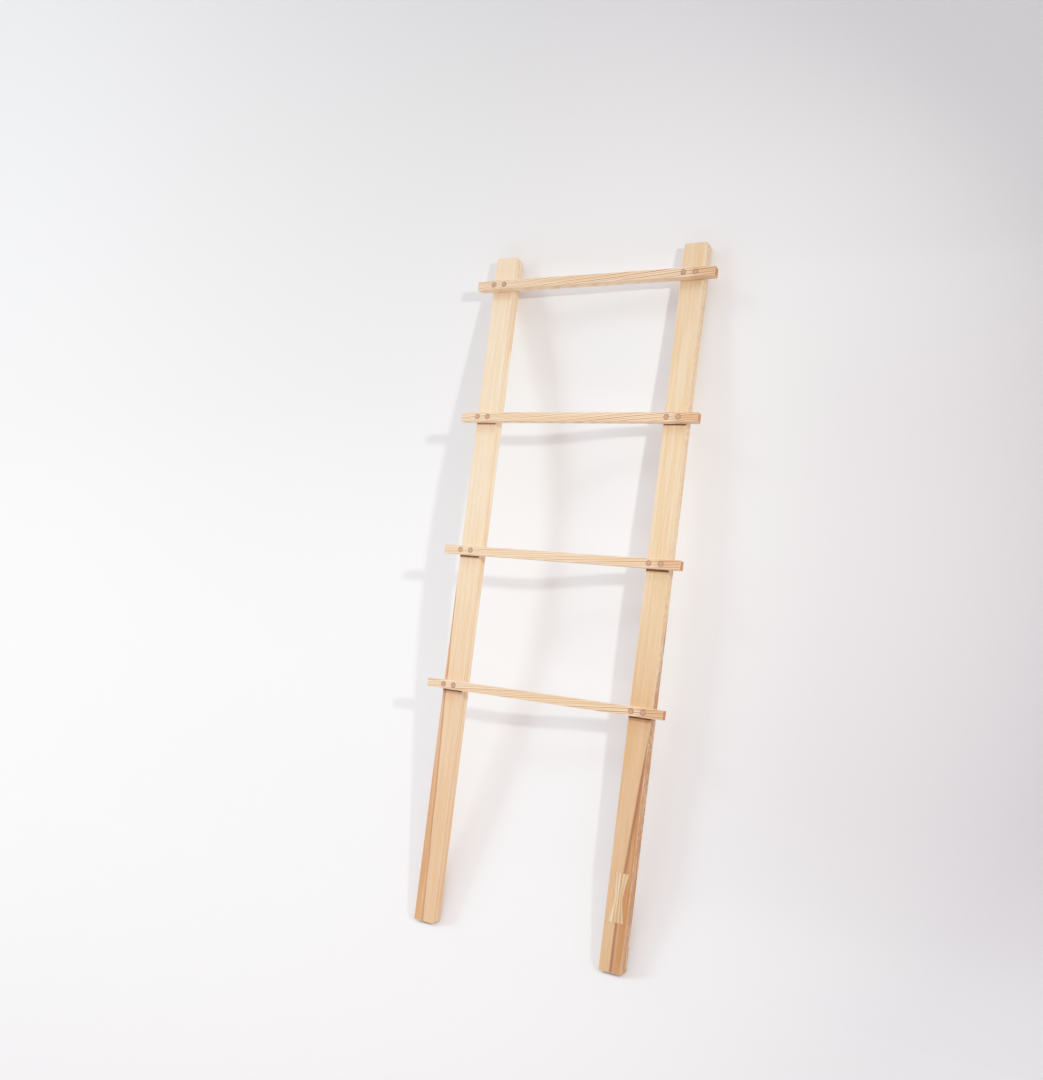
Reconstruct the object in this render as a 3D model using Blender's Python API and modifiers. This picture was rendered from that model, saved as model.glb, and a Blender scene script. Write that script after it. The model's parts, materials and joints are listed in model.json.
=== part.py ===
"""A leaning blanket ladder in pale ash: two rails, four rungs pegged across them, one butterfly key.

Standalone Blender 4.5 script: blender --background --python part.py
Units are metres and +Z is up. The ladder leans back towards +Y, as it stands against a wall, with
its rungs along X and its feet on Z = 0. Every piece is placed in the ladder's own frame, which is
X along the rungs, Y from the front of a rail to its back and Z up the rail from the foot, and is
parented to one empty that holds the lean.
"""

from math import cos, pi, radians, sin

import bmesh
import bpy
from mathutils import Matrix

# ---- Driving dimensions -------------------------------------------------------------------------

LADDER_NAME = "blanket_ladder"
LEAN = radians(15.5)  # tilt of the rails from the vertical

RAIL_LENGTH = 1.524
RAIL_WIDTH = 0.050  # seen from the front
RAIL_DEPTH = 0.032  # from front to back
RAIL_CENTRE_X = 0.225  # from the middle of the ladder to the middle of a rail
RAIL_ARRIS = 0.0010  # width of the eased edges
STICK_ARRIS_SEGMENTS = 2

RUNG_COUNT = 4
RUNG_LENGTH = 0.560
RUNG_DEPTH = 0.021
RUNG_HEIGHT = 0.020
RUNG_ARRIS = 0.0008
LOWEST_RUNG_Z = 0.534  # up the rail, from the foot to the middle of the lowest rung
RUNG_PITCH = 0.306

PEG_RADIUS = 0.006
PEG_OFFSET_X = 0.013  # from the middle of the rail to the middle of a peg
PEG_DEPTH_IN_RAIL = 0.020
PEG_ARRIS = 0.0005
PEG_ARRIS_SEGMENTS = 1
PEG_SEGMENTS = 48

KEY_HEIGHT = 0.100
KEY_END_WIDTH = 0.032
KEY_WAIST_WIDTH = 0.0165
KEY_DEPTH = 0.010
KEY_CENTRE_Z = 0.1525  # up the right rail, from the foot to the key's waist

FIT_GAP = 0.0003  # left between pieces that touch
CUTTER_OVERSHOOT = 0.002  # how far a cutter runs past the face that it opens
WELD_DISTANCE = 1e-6  # joins the caps of an extruded outline to its sides
SQUARE_EDGE = radians(60)  # an edge that turns by more than this is eased

# ---- Worked out from them -----------------------------------------------------------------------

RUNG_CENTRE_Y = -(FIT_GAP + RUNG_DEPTH / 2)
RUNG_FRONT_Y = -(FIT_GAP + RUNG_DEPTH)
PEG_LENGTH = PEG_DEPTH_IN_RAIL - RUNG_FRONT_Y
PEG_CENTRE_Y = RUNG_FRONT_Y + PEG_LENGTH / 2

# The feet are cut square, so a leaning rail stands on the lower rear edge of its foot. The whole
# ladder is lifted by as much as that edge would be under the floor, and centred on Y = 0.
FOOT_LIFT = (RAIL_DEPTH - RAIL_ARRIS) * sin(LEAN)
LADDER_Y = -(RAIL_LENGTH * sin(LEAN) + RAIL_DEPTH * cos(LEAN)) / 2

# A rail's side of the ladder, and which side of the rail's middle a peg is on.
SIDES = {"left": -1, "right": 1}
PEG_PLACES = {"outer": 1, "inner": -1}

# name: (base colour, roughness)
WOODS = {
    "rail_ash": ((0.80, 0.59, 0.36), 0.55),
    "rung_ash": ((0.76, 0.55, 0.34), 0.55),
    "peg_walnut": ((0.40, 0.24, 0.16), 0.60),
    "key_ash": ((0.68, 0.42, 0.22), 0.50),
}


# ---- Scene --------------------------------------------------------------------------------------


def clear_scene():
    """Remove whatever objects the file opened with."""
    for obj in list(bpy.data.objects):
        bpy.data.objects.remove(obj, do_unlink=True)


def new_collection(name):
    """Make an empty collection in the scene."""
    collection = bpy.data.collections.new(name)
    bpy.context.scene.collection.children.link(collection)
    return collection


def new_material(name, colour, roughness):
    """Make a plain Principled material."""
    material = bpy.data.materials.new(name)
    material.use_nodes = True
    shader = material.node_tree.nodes["Principled BSDF"]
    shader.inputs["Base Color"].default_value = (*colour, 1.0)
    shader.inputs["Roughness"].default_value = roughness
    shader.inputs["Metallic"].default_value = 0.0
    material.diffuse_color = (*colour, 1.0)
    return material


class Workshop:
    """Adds pieces and cutters to their collections, in the ladder's own frame."""

    def __init__(self):
        self.parts = new_collection(LADDER_NAME)
        self.cutters = new_collection(LADDER_NAME + "_cutters")
        self.cutters.hide_render = True
        self.lean = bpy.data.objects.new(LADDER_NAME + "_lean", None)
        self.lean.location = (0, LADDER_Y, FOOT_LIFT)
        self.lean.rotation_euler = (-LEAN, 0, 0)
        self.parts.objects.link(self.lean)

    def add_piece(self, name, mesh, location, wood):
        """Add one piece of wood. Each piece has a material of its own."""
        piece = bpy.data.objects.new(name, mesh)
        piece.location = location
        piece.parent = self.lean
        colour, roughness = WOODS[wood]
        mesh.materials.append(new_material(name + "_" + wood, colour, roughness))
        self.parts.objects.link(piece)
        return piece

    def cut(self, piece, name, mesh, location):
        """Cut a mesh out of a piece with an exact Boolean."""
        cutter = bpy.data.objects.new(name, mesh)
        cutter.location = location
        cutter.parent = self.lean
        cutter.hide_render = True
        cutter.display_type = "WIRE"
        self.cutters.objects.link(cutter)
        boolean = piece.modifiers.new(name, "BOOLEAN")
        boolean.operation = "DIFFERENCE"
        boolean.solver = "EXACT"
        boolean.object = cutter


# ---- Shapes -------------------------------------------------------------------------------------


def block_mesh(name, width, depth, height):
    """A rectangular stick, centred on its origin."""
    shape = bmesh.new()
    bmesh.ops.create_cube(shape, size=1.0)
    bmesh.ops.scale(shape, vec=(width, depth, height), verts=shape.verts)
    mesh = bpy.data.meshes.new(name)
    shape.to_mesh(mesh)
    shape.free()
    return mesh


def dowel_mesh(name, radius, length):
    """A round stick along Y, centred on its origin, with smooth sides and flat ends."""
    shape = bmesh.new()
    bmesh.ops.create_cone(
        shape, cap_ends=True, segments=PEG_SEGMENTS, radius1=radius, radius2=radius, depth=length
    )
    bmesh.ops.rotate(shape, verts=shape.verts, matrix=Matrix.Rotation(pi / 2, 3, "X"))
    for face in shape.faces:
        face.smooth = len(face.verts) == 4
        if not face.smooth:
            for edge in face.edges:
                edge.smooth = False
    mesh = bpy.data.meshes.new(name)
    shape.to_mesh(mesh)
    shape.free()
    return mesh


def butterfly_mesh(name, margin, depth):
    """A butterfly key: two dovetails joined at the waist, standing up, with its thickness along Y.

    The margin widens the outline all round, for the pocket that the key fits.
    """
    half_height = KEY_HEIGHT / 2 + margin
    half_end = KEY_END_WIDTH / 2 + margin
    half_waist = KEY_WAIST_WIDTH / 2 + margin
    outline = [
        (-half_end, -half_height),
        (half_end, -half_height),
        (half_waist, 0),
        (half_end, half_height),
        (-half_end, half_height),
        (-half_waist, 0),
    ]
    curve = bpy.data.curves.new(name, "CURVE")
    curve.dimensions = "2D"
    curve.fill_mode = "BOTH"
    curve.extrude = depth / 2
    spline = curve.splines.new("POLY")
    spline.points.add(len(outline) - 1)
    for point, (x, z) in zip(spline.points, outline):
        point.co = (x, z, 0, 1)
    spline.use_cyclic_u = True

    holder = bpy.data.objects.new(name, curve)
    shape = bmesh.new()
    shape.from_mesh(bpy.data.meshes.new_from_object(holder))
    bmesh.ops.remove_doubles(shape, verts=shape.verts, dist=WELD_DISTANCE)
    bmesh.ops.rotate(shape, verts=shape.verts, matrix=Matrix.Rotation(pi / 2, 3, "X"))
    bmesh.ops.recalc_face_normals(shape, faces=shape.faces)
    mesh = bpy.data.meshes.new(name)
    shape.to_mesh(mesh)
    shape.free()
    bpy.data.objects.remove(holder)
    return mesh


def ease_edges(piece, width, segments):
    """Round the square edges of a piece."""
    bevel = piece.modifiers.new("eased_edges", "BEVEL")
    bevel.width = width
    bevel.segments = segments
    bevel.limit_method = "ANGLE"
    bevel.angle_limit = SQUARE_EDGE


# ---- The ladder's pieces ------------------------------------------------------------------------


def rung_height(number):
    """How far up the rail the middle of a rung is. Rung 1 is the top one."""
    return LOWEST_RUNG_Z + (RUNG_COUNT - number) * RUNG_PITCH


def peg_centres(side):
    """Yield (place, x) for the two pegs side by side on one rail."""
    for place, step in PEG_PLACES.items():
        yield place, SIDES[side] * (RAIL_CENTRE_X + step * PEG_OFFSET_X)


def drill_for_peg(workshop, piece, name, x, z):
    """Drill a peg's hole, which goes through the rung and stops inside the rail."""
    start = RUNG_FRONT_Y - CUTTER_OVERSHOOT
    end = PEG_DEPTH_IN_RAIL + FIT_GAP
    mesh = dowel_mesh(name, PEG_RADIUS + FIT_GAP, end - start)
    workshop.cut(piece, name, mesh, (x, (start + end) / 2, z))


def add_rail(workshop, side):
    """One rail, with a pair of blind holes for each rung's pegs."""
    name = side + "_rail"
    mesh = block_mesh(name, RAIL_WIDTH, RAIL_DEPTH, RAIL_LENGTH)
    location = (SIDES[side] * RAIL_CENTRE_X, RAIL_DEPTH / 2, RAIL_LENGTH / 2)
    rail = workshop.add_piece(name, mesh, location, "rail_ash")
    ease_edges(rail, RAIL_ARRIS, STICK_ARRIS_SEGMENTS)
    for number in range(1, RUNG_COUNT + 1):
        for place, x in peg_centres(side):
            drill_for_peg(workshop, rail, f"{name}_drill_{number}_{place}", x, rung_height(number))
    return rail


def add_key(workshop, rail):
    """The butterfly key in the right rail's face, and the pocket that it lies in."""
    x = SIDES["right"] * RAIL_CENTRE_X
    pocket = butterfly_mesh("key_pocket", FIT_GAP, KEY_DEPTH + FIT_GAP + CUTTER_OVERSHOOT)
    pocket_y = (KEY_DEPTH + FIT_GAP - CUTTER_OVERSHOOT) / 2
    workshop.cut(rail, "key_pocket", pocket, (x, pocket_y, KEY_CENTRE_Z))
    key = butterfly_mesh("butterfly_key", 0, KEY_DEPTH)
    workshop.add_piece("butterfly_key", key, (x, KEY_DEPTH / 2, KEY_CENTRE_Z), "key_ash")


def add_rung(workshop, number):
    """One rung across the fronts of the rails, with its four pegs."""
    name = f"rung_{number}"
    z = rung_height(number)
    mesh = block_mesh(name, RUNG_LENGTH, RUNG_DEPTH, RUNG_HEIGHT)
    rung = workshop.add_piece(name, mesh, (0, RUNG_CENTRE_Y, z), "rung_ash")
    ease_edges(rung, RUNG_ARRIS, STICK_ARRIS_SEGMENTS)
    for side in SIDES:
        for place, x in peg_centres(side):
            drill_for_peg(workshop, rung, f"{name}_drill_{side}_{place}", x, z)
            peg_name = f"{name}_peg_{side}_{place}"
            peg_mesh = dowel_mesh(peg_name, PEG_RADIUS, PEG_LENGTH)
            peg = workshop.add_piece(peg_name, peg_mesh, (x, PEG_CENTRE_Y, z), "peg_walnut")
            ease_edges(peg, PEG_ARRIS, PEG_ARRIS_SEGMENTS)


def main():
    clear_scene()
    workshop = Workshop()
    rails = {side: add_rail(workshop, side) for side in SIDES}
    add_key(workshop, rails["right"])
    for number in range(1, RUNG_COUNT + 1):
        add_rung(workshop, number)


main()
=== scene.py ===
"""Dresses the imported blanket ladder: eased ash rails and rungs, walnut pegs and a butterfly key.

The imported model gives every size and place. Each stick is rebuilt as a finer mesh in the space of
its CAD node, with its own procedural wood, and stands on a pale studio sweep. Metres, +Z up.
"""

import json
import logging
import math
from dataclasses import dataclass, field, replace
from enum import Enum
from itertools import product

import bmesh
import bpy
from mathutils import Matrix, Vector, noise


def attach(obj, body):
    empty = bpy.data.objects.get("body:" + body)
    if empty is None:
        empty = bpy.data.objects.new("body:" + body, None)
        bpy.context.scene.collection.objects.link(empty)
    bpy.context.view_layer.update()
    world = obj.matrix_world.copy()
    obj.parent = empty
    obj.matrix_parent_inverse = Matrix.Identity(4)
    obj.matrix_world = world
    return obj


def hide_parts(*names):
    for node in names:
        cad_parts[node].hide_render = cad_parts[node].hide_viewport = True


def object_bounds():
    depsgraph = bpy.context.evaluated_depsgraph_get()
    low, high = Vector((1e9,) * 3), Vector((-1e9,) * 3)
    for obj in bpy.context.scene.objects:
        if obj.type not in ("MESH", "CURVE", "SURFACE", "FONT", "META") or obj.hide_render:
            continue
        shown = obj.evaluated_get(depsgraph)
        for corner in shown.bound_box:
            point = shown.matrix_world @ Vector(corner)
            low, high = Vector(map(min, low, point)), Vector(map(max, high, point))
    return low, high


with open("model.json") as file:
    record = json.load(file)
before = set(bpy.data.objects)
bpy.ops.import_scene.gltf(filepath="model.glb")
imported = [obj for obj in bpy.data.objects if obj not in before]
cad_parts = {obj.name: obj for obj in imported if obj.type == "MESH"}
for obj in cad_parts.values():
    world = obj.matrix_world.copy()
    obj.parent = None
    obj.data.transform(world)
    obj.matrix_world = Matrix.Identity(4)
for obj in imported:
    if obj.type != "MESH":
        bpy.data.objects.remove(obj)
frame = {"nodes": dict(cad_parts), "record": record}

CAD_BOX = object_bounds()
LOG = logging.getLogger("blanket_ladder")

RGB = tuple[float, float, float]
Socket = bpy.types.NodeSocket

MM = 0.001
ROOT_BODY = "root"
RUNG_NUMBERS = (1, 2, 3, 4)

# How far a dressed rail stays inside its solid at the front, at the back and at the ends.
PLANED_OFF = 0.3 * MM
# How much of the solids' working gap a peg or the key closes on each side.
GAP_CLOSED = 0.2 * MM
# How far a cutter stands out of the face that it cuts.
OVERCUT = 2 * MM
# How far the paper hangs behind the tops of the rails.
PAPER_GAP = 0.3 * MM

STAND_UP = Matrix.Identity(4)
FACE_FRONT = Matrix.Rotation(math.pi / 2, 4, "X")
LIE_ACROSS = Matrix.Rotation(math.pi / 2, 4, "Y")


class Side(Enum):
    """A side of the ladder, seen from the front."""

    LEFT = "left"
    RIGHT = "right"

    @property
    def sign(self) -> int:
        """The direction of this side along X."""
        return 1 if self is Side.RIGHT else -1


class PegPlace(Enum):
    """Which of a joint's two pegs."""

    OUTER = "outer"
    INNER = "inner"


def srgb(red: int, green: int, blue: int) -> RGB:
    """Turn a colour swatch into linear light.

    Args:
        red: Red, 0 to 255.
        green: Green, 0 to 255.
        blue: Blue, 0 to 255.

    Returns:
        The colour as linear values from 0 to 1.
    """

    def linear(channel: int) -> float:
        """One channel in linear light."""
        value = channel / 255
        return value / 12.92 if value <= 0.04045 else ((value + 0.055) / 1.055) ** 2.4

    return linear(red), linear(green), linear(blue)


# ---- The ladder's own frame ---------------------------------------------------------------------


@dataclass(frozen=True)
class LocalBox:
    """A CAD node's box, measured square to the ladder and not to the floor."""

    low: Vector
    high: Vector

    @property
    def centre(self) -> Vector:
        """The middle of the box."""
        return (self.low + self.high) / 2

    @property
    def size(self) -> Vector:
        """The box's width, depth and height along the ladder."""
        return self.high - self.low


class LadderFrame:
    """The leaning frame of the ladder: X along the rungs, Y from front to back, Z up the rails."""

    def __init__(self, record: dict) -> None:
        """Read the lean from the direction that a rung's top face looks in.

        Args:
            record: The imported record.
        """
        mounts = {mount["name"]: mount for mount in record["mounts"]}
        up_the_rail = Vector(mounts["rung_1_top"]["axis"])
        lean = math.atan2(up_the_rail.y, up_the_rail.z)
        self.matrix = Matrix.Rotation(-lean, 4, "X")

    def box(self, node: str) -> LocalBox:
        """Measure a CAD node square to the ladder.

        Args:
            node: The node's name.

        Returns:
            Its box in the ladder's frame.
        """
        points = self._points(node)
        low = Vector([min(point[axis] for point in points) for axis in range(3)])
        high = Vector([max(point[axis] for point in points) for axis in range(3)])
        return LocalBox(low, high)

    def waist(self, node: str) -> float:
        """Measure how wide a node is at the middle of its height.

        Args:
            node: The node's name.

        Returns:
            The narrowest width that its vertices give there.
        """
        box = self.box(node)
        points = [point - box.centre for point in self._points(node)]
        near_middle = box.size.z / 10
        return 2 * max(abs(point.x) for point in points if abs(point.z) < near_middle)

    def place(self, obj: bpy.types.Object, centre: Vector, turn: Matrix) -> None:
        """Put a piece at a point of the ladder's frame.

        Args:
            obj: The piece.
            centre: Where its origin goes, in the ladder's frame.
            turn: How it is turned in the ladder's frame.
        """
        obj.matrix_world = self.matrix @ Matrix.Translation(centre) @ turn

    def _points(self, node: str) -> list[Vector]:
        """A node's vertices, square to the ladder."""
        upright = self.matrix.inverted()
        return [upright @ vertex.co for vertex in frame["nodes"][node].data.vertices]


# ---- Meshes -------------------------------------------------------------------------------------


def new_object(name: str, shape: bmesh.types.BMesh) -> bpy.types.Object:
    """Turn a bmesh into an object in the scene, and free the bmesh.

    Args:
        name: Its name.
        shape: The bmesh.

    Returns:
        The object.
    """
    mesh = bpy.data.meshes.new(name)
    shape.to_mesh(mesh)
    shape.free()
    obj = bpy.data.objects.new(name, mesh)
    bpy.context.scene.collection.objects.link(obj)
    return obj


def shade(obj: bpy.types.Object, sharp_above: float = 32.0) -> None:
    """Shade a piece smooth over its eased edges and keep its flats flat.

    Args:
        obj: The piece.
        sharp_above: The angle in degrees above which an edge stays sharp.
    """
    obj.data.shade_smooth()
    obj.data.set_sharp_from_angle(angle=math.radians(sharp_above))
    weighted = obj.modifiers.new("flat_faces", "WEIGHTED_NORMAL")
    weighted.keep_sharp = True
    weighted.weight = 100


def finish_piece(
    obj: bpy.types.Object, material: bpy.types.Material, slot: str, *nodes: str
) -> None:
    """Dress a placed piece, hang it on the root body and hide the CAD nodes that it stands for.

    Args:
        obj: The piece, in its place.
        material: Its only material.
        slot: The record's material slot name for it. Not used.
        nodes: The CAD nodes that it stands for.
    """
    obj.data.materials.clear()
    obj.data.materials.append(material)
    shade(obj)
    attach(obj, ROOT_BODY)
    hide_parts(*nodes)
    LOG.info("%s: %d faces", obj.name, len(obj.data.polygons))


def carve(obj: bpy.types.Object, cutters: list[bpy.types.Object]) -> None:
    """Cut a set of shapes out of a piece and leave a plain mesh.

    Args:
        obj: The piece.
        cutters: The shapes to cut away. They are removed afterwards.
    """
    for cutter in cutters:
        boolean = obj.modifiers.new(cutter.name, "BOOLEAN")
        boolean.operation = "DIFFERENCE"
        boolean.solver = "EXACT"
        boolean.object = cutter
    bpy.context.view_layer.update()
    graph = bpy.context.evaluated_depsgraph_get()
    carved = bpy.data.meshes.new_from_object(obj.evaluated_get(graph))
    obj.modifiers.clear()
    plain = obj.data
    obj.data = carved
    bpy.data.meshes.remove(plain)
    for cutter in cutters:
        bpy.data.objects.remove(cutter, do_unlink=True)


@dataclass
class Stick:
    """A planed stick with its length along its own Z, eased edges and square-cut ends.

    Rings of vertices, a station apart, carry the plane's marks: they shave the long edges by up to
    the planing depth, and change about as often in a metre as the waves say.
    """

    name: str
    width: float
    depth: float
    length: float
    arris: float = 1.0 * MM
    arris_steps: int = 3
    end_chamfer: float = 0.8 * MM
    station: float = 30 * MM
    planing: float = 0.12 * MM
    waves: float = 14.0
    edge_angle: float = 55.0

    def build(self) -> bpy.types.Object:
        """Model the stick, centred on its origin.

        Returns:
            The stick's object.
        """
        shape = bmesh.new()
        bmesh.ops.create_cube(shape, size=1.0)
        bmesh.ops.scale(shape, vec=(self.width, self.depth, self.length), verts=shape.verts)
        self._chamfer_ends(shape)
        self._ease_edges(shape)
        self._cut_stations(shape)
        self._plane_by_hand(shape)
        return new_object(self.name, shape)

    def _chamfer_ends(self, shape: bmesh.types.BMesh) -> None:
        """Take the sharp edge off round both ends.

        Args:
            shape: The stick so far.
        """
        ends = [
            edge
            for edge in shape.edges
            if abs(edge.verts[0].co.z - edge.verts[1].co.z) < self.length / 2
        ]
        bmesh.ops.bevel(
            shape, geom=ends, offset=self.end_chamfer, offset_type="OFFSET", segments=1,
            affect="EDGES",
        )

    def _ease_edges(self, shape: bmesh.types.BMesh) -> None:
        """Round the long edges, and the corners that they run into.

        Args:
            shape: The stick so far.
        """
        flatter = math.radians(self.edge_angle)
        long_edges = [edge for edge in shape.edges if edge.calc_face_angle(0) > flatter]
        bmesh.ops.bevel(
            shape, geom=long_edges, offset=self.arris, offset_type="OFFSET",
            segments=self.arris_steps, profile=0.5, affect="EDGES",
        )

    def _cut_stations(self, shape: bmesh.types.BMesh) -> None:
        """Add rings of vertices along the stick for the plane's marks to follow.

        Args:
            shape: The stick so far.
        """
        count = max(2, round(self.length / self.station))
        for index in range(1, count):
            height = -self.length / 2 + index * self.length / count
            bmesh.ops.bisect_plane(
                shape,
                geom=shape.verts[:] + shape.edges[:] + shape.faces[:],
                plane_co=(0, 0, height),
                plane_no=(0, 0, 1),
            )

    def _plane_by_hand(self, shape: bmesh.types.BMesh) -> None:
        """Let the long edges wander a hair inwards, as a hand plane leaves them.

        Args:
            shape: The stick so far.
        """
        seed = Vector((len(self.name), self.width * 100, self.length * 10))
        corner_x = self.width / 2 - 2 * self.arris
        corner_y = self.depth / 2 - 2 * self.arris
        for vertex in shape.verts:
            x, y, z = vertex.co
            if abs(x) < corner_x or abs(y) < corner_y:
                continue
            corner = Vector((math.copysign(1, x), math.copysign(1, y), z * self.waves)) + seed
            shave = self.planing * (0.5 + 0.5 * noise.noise(corner))
            vertex.co.x -= math.copysign(shave, x)
            vertex.co.y -= math.copysign(shave, y)


def turned(name: str, profile: list[tuple[float, float]], steps: int) -> bpy.types.Object:
    """Turn a profile into a round piece about its own Z.

    Args:
        name: The piece's name.
        profile: Points (radius, height) from the lower end to the upper one.
        steps: Facets round the piece.

    Returns:
        The piece's object.
    """
    shape = bmesh.new()
    points = [shape.verts.new((radius, 0, height)) for radius, height in profile]
    outline = [shape.edges.new(pair) for pair in zip(points, points[1:])]
    bmesh.ops.spin(
        shape, geom=points + outline, cent=(0, 0, 0), axis=(0, 0, 1), angle=2 * math.pi,
        steps=steps, use_merge=True,
    )
    bmesh.ops.remove_doubles(shape, verts=shape.verts, dist=0.001 * MM)
    bmesh.ops.recalc_face_normals(shape, faces=shape.faces)
    return new_object(name, shape)


def prism(
    name: str, outline: list[tuple[float, float]], front: float, back: float
) -> bpy.types.Object:
    """Stand a flat outline up and give it thickness.

    Args:
        name: The piece's name.
        outline: Its points (x, z), in order.
        front: Y of its front face.
        back: Y of its back face.

    Returns:
        The piece's object.
    """
    shape = bmesh.new()
    face = shape.faces.new([shape.verts.new((x, front, z)) for x, z in outline])
    grown = bmesh.ops.extrude_face_region(shape, geom=[face])["geom"]
    moved = [part for part in grown if isinstance(part, bmesh.types.BMVert)]
    bmesh.ops.translate(shape, verts=moved, vec=(0, back - front, 0))
    bmesh.ops.recalc_face_normals(shape, faces=shape.faces)
    return new_object(name, shape)


# ---- Shader nodes -------------------------------------------------------------------------------


# The Mix node's sockets for colours come after those for values and vectors.
MIX_COLOURS_IN = slice(6, 8)
MIX_COLOUR_OUT = 2


class Nodes:
    """Adds and links shader nodes, one short call each."""

    def __init__(self, tree: bpy.types.NodeTree) -> None:
        """Write to this tree."""
        self.tree = tree

    def add(self, kind: str, **settings: object) -> bpy.types.Node:
        """Add a node.

        Args:
            kind: Its type, without the ShaderNode prefix.
            settings: Properties to set on it.

        Returns:
            The node.
        """
        node = self.tree.nodes.new("ShaderNode" + kind)
        for key, value in settings.items():
            setattr(node, key, value)
        return node

    def feed(self, socket: Socket, value: object) -> None:
        """Give an input a value, or link an output to it.

        Args:
            socket: The input.
            value: A number, vector or colour, or the output of a node.
        """
        if isinstance(value, bpy.types.NodeSocket):
            self.tree.links.new(value, socket)
        elif isinstance(value, tuple) and socket.type == "RGBA" and len(value) == 3:
            socket.default_value = (*value, 1.0)
        else:
            socket.default_value = value

    def math(self, operation: str, *values: object) -> Socket:
        """Do sums on values or sockets.

        Args:
            operation: The sum, in the Math node's own words.
            values: What goes into it, in order.

        Returns:
            The result.
        """
        node = self.add("Math", operation=operation)
        for socket, value in zip(node.inputs, values):
            self.feed(socket, value)
        return node.outputs["Value"]

    def vector(self, operation: str, *values: object) -> Socket:
        """Do sums on vectors.

        Args:
            operation: The sum, in the Vector Math node's own words.
            values: What goes into it, in order.

        Returns:
            The result, which is a value for a length.
        """
        node = self.add("VectorMath", operation=operation)
        for socket, value in zip(node.inputs, values):
            self.feed(socket, value)
        return node.outputs["Value" if operation == "LENGTH" else "Vector"]

    def split(self, vector: Socket) -> tuple[Socket, Socket, Socket]:
        """Take a vector apart.

        Args:
            vector: The vector.

        Returns:
            Its X, Y and Z.
        """
        node = self.add("SeparateXYZ")
        self.feed(node.inputs["Vector"], vector)
        return node.outputs["X"], node.outputs["Y"], node.outputs["Z"]

    def join(self, x: object, y: object, z: object) -> Socket:
        """Make a vector from its parts.

        Args:
            x: A value or socket.
            y: A value or socket.
            z: A value or socket.

        Returns:
            The vector.
        """
        node = self.add("CombineXYZ")
        for socket, value in zip(node.inputs, (x, y, z)):
            self.feed(socket, value)
        return node.outputs["Vector"]

    def step(self, value: object, low: object, high: object) -> Socket:
        """Rise smoothly from 0 to 1, or fall from 1 to 0 where low is the higher one.

        Args:
            value: What is compared.
            low: Where the result is 0.
            high: Where the result is 1.

        Returns:
            The result.
        """
        node = self.add("MapRange", interpolation_type="SMOOTHSTEP")
        self.feed(node.inputs["Value"], value)
        self.feed(node.inputs["From Min"], low)
        self.feed(node.inputs["From Max"], high)
        return node.outputs["Result"]

    def mix(self, factor: object, first: object, second: object, blend: str = "MIX") -> Socket:
        """Mix two colours.

        Args:
            factor: How much of the second one shows.
            first: The first colour.
            second: The second colour.
            blend: How they mix.

        Returns:
            The mixed colour.
        """
        node = self.add("Mix", data_type="RGBA", blend_type=blend)
        self.feed(node.inputs["Factor"], factor)
        for socket, value in zip(node.inputs[MIX_COLOURS_IN], (first, second)):
            self.feed(socket, value)
        return node.outputs[MIX_COLOUR_OUT]

    def stain(self, colour: object, tone: object) -> Socket:
        """Multiply a colour by a tone."""
        return self.mix(1.0, colour, tone, "MULTIPLY")

    def noise(
        self, place: Socket, scale: object, detail: float = 1.0, rough: float = 0.5
    ) -> bpy.types.Node:
        """Add a noise texture.

        Args:
            place: Where it is read.
            scale: How fine it is along X, Y and Z.
            detail: How many finer layers lie on it.
            rough: How strong they are.

        Returns:
            The texture's node.
        """
        node = self.add("TexNoise")
        self.feed(node.inputs["Vector"], self.vector("MULTIPLY", place, scale))
        node.inputs["Scale"].default_value = 1.0
        node.inputs["Detail"].default_value = detail
        node.inputs["Roughness"].default_value = rough
        return node

    def sink(self, shader: bpy.types.Node, dips: Socket, depth: float, strength: float) -> None:
        """Sink a mask into the surface.

        Args:
            shader: The shader that takes the normal.
            dips: The mask, high where the surface is low.
            depth: How deep it goes.
            strength: How strongly it shows.
        """
        bump = self.add("Bump", invert=True)
        bump.inputs["Distance"].default_value = depth
        bump.inputs["Strength"].default_value = strength
        self.feed(bump.inputs["Height"], dips)
        self.feed(shader.inputs["Normal"], bump.outputs["Normal"])

    def group(self, tree: bpy.types.NodeTree, **values: object) -> bpy.types.Node:
        """Place a node group.

        Args:
            tree: The group.
            values: What its inputs take, with spaces in their names written as underscores.

        Returns:
            The group's node.
        """
        node = self.add("Group")
        node.node_tree = tree
        for key, value in values.items():
            self.feed(node.inputs[key.replace("_", " ")], value)
        return node


def new_material(name: str) -> tuple[bpy.types.Material, Nodes, bpy.types.Node]:
    """Start a material.

    Args:
        name: Its name.

    Returns:
        The material, a writer for its nodes and its Principled shader.
    """
    material = bpy.data.materials.new(name)
    material.use_nodes = True
    tree = material.node_tree
    return material, Nodes(tree), tree.nodes["Principled BSDF"]


class GroupMaker:
    """Builds one node group with named inputs and outputs."""

    def __init__(self, name: str, inputs: dict[str, str], outputs: tuple[str, ...]) -> None:
        """Make the group and its sockets.

        Args:
            name: The group's name.
            inputs: Input names and whether each is a Vector or a Float.
            outputs: Output names. Each is a Float.
        """
        self.tree = bpy.data.node_groups.new(name, "ShaderNodeTree")
        for label, kind in inputs.items():
            self.tree.interface.new_socket(label, in_out="INPUT", socket_type="NodeSocket" + kind)
        for label in outputs:
            self.tree.interface.new_socket(label, in_out="OUTPUT", socket_type="NodeSocketFloat")
        self.nodes = Nodes(self.tree)
        self.inputs = self.tree.nodes.new("NodeGroupInput").outputs
        self._outputs = self.tree.nodes.new("NodeGroupOutput").inputs

    def put(self, label: str, value: Socket) -> None:
        """Send a result out of the group."""
        self.tree.links.new(value, self._outputs[label])


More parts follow.
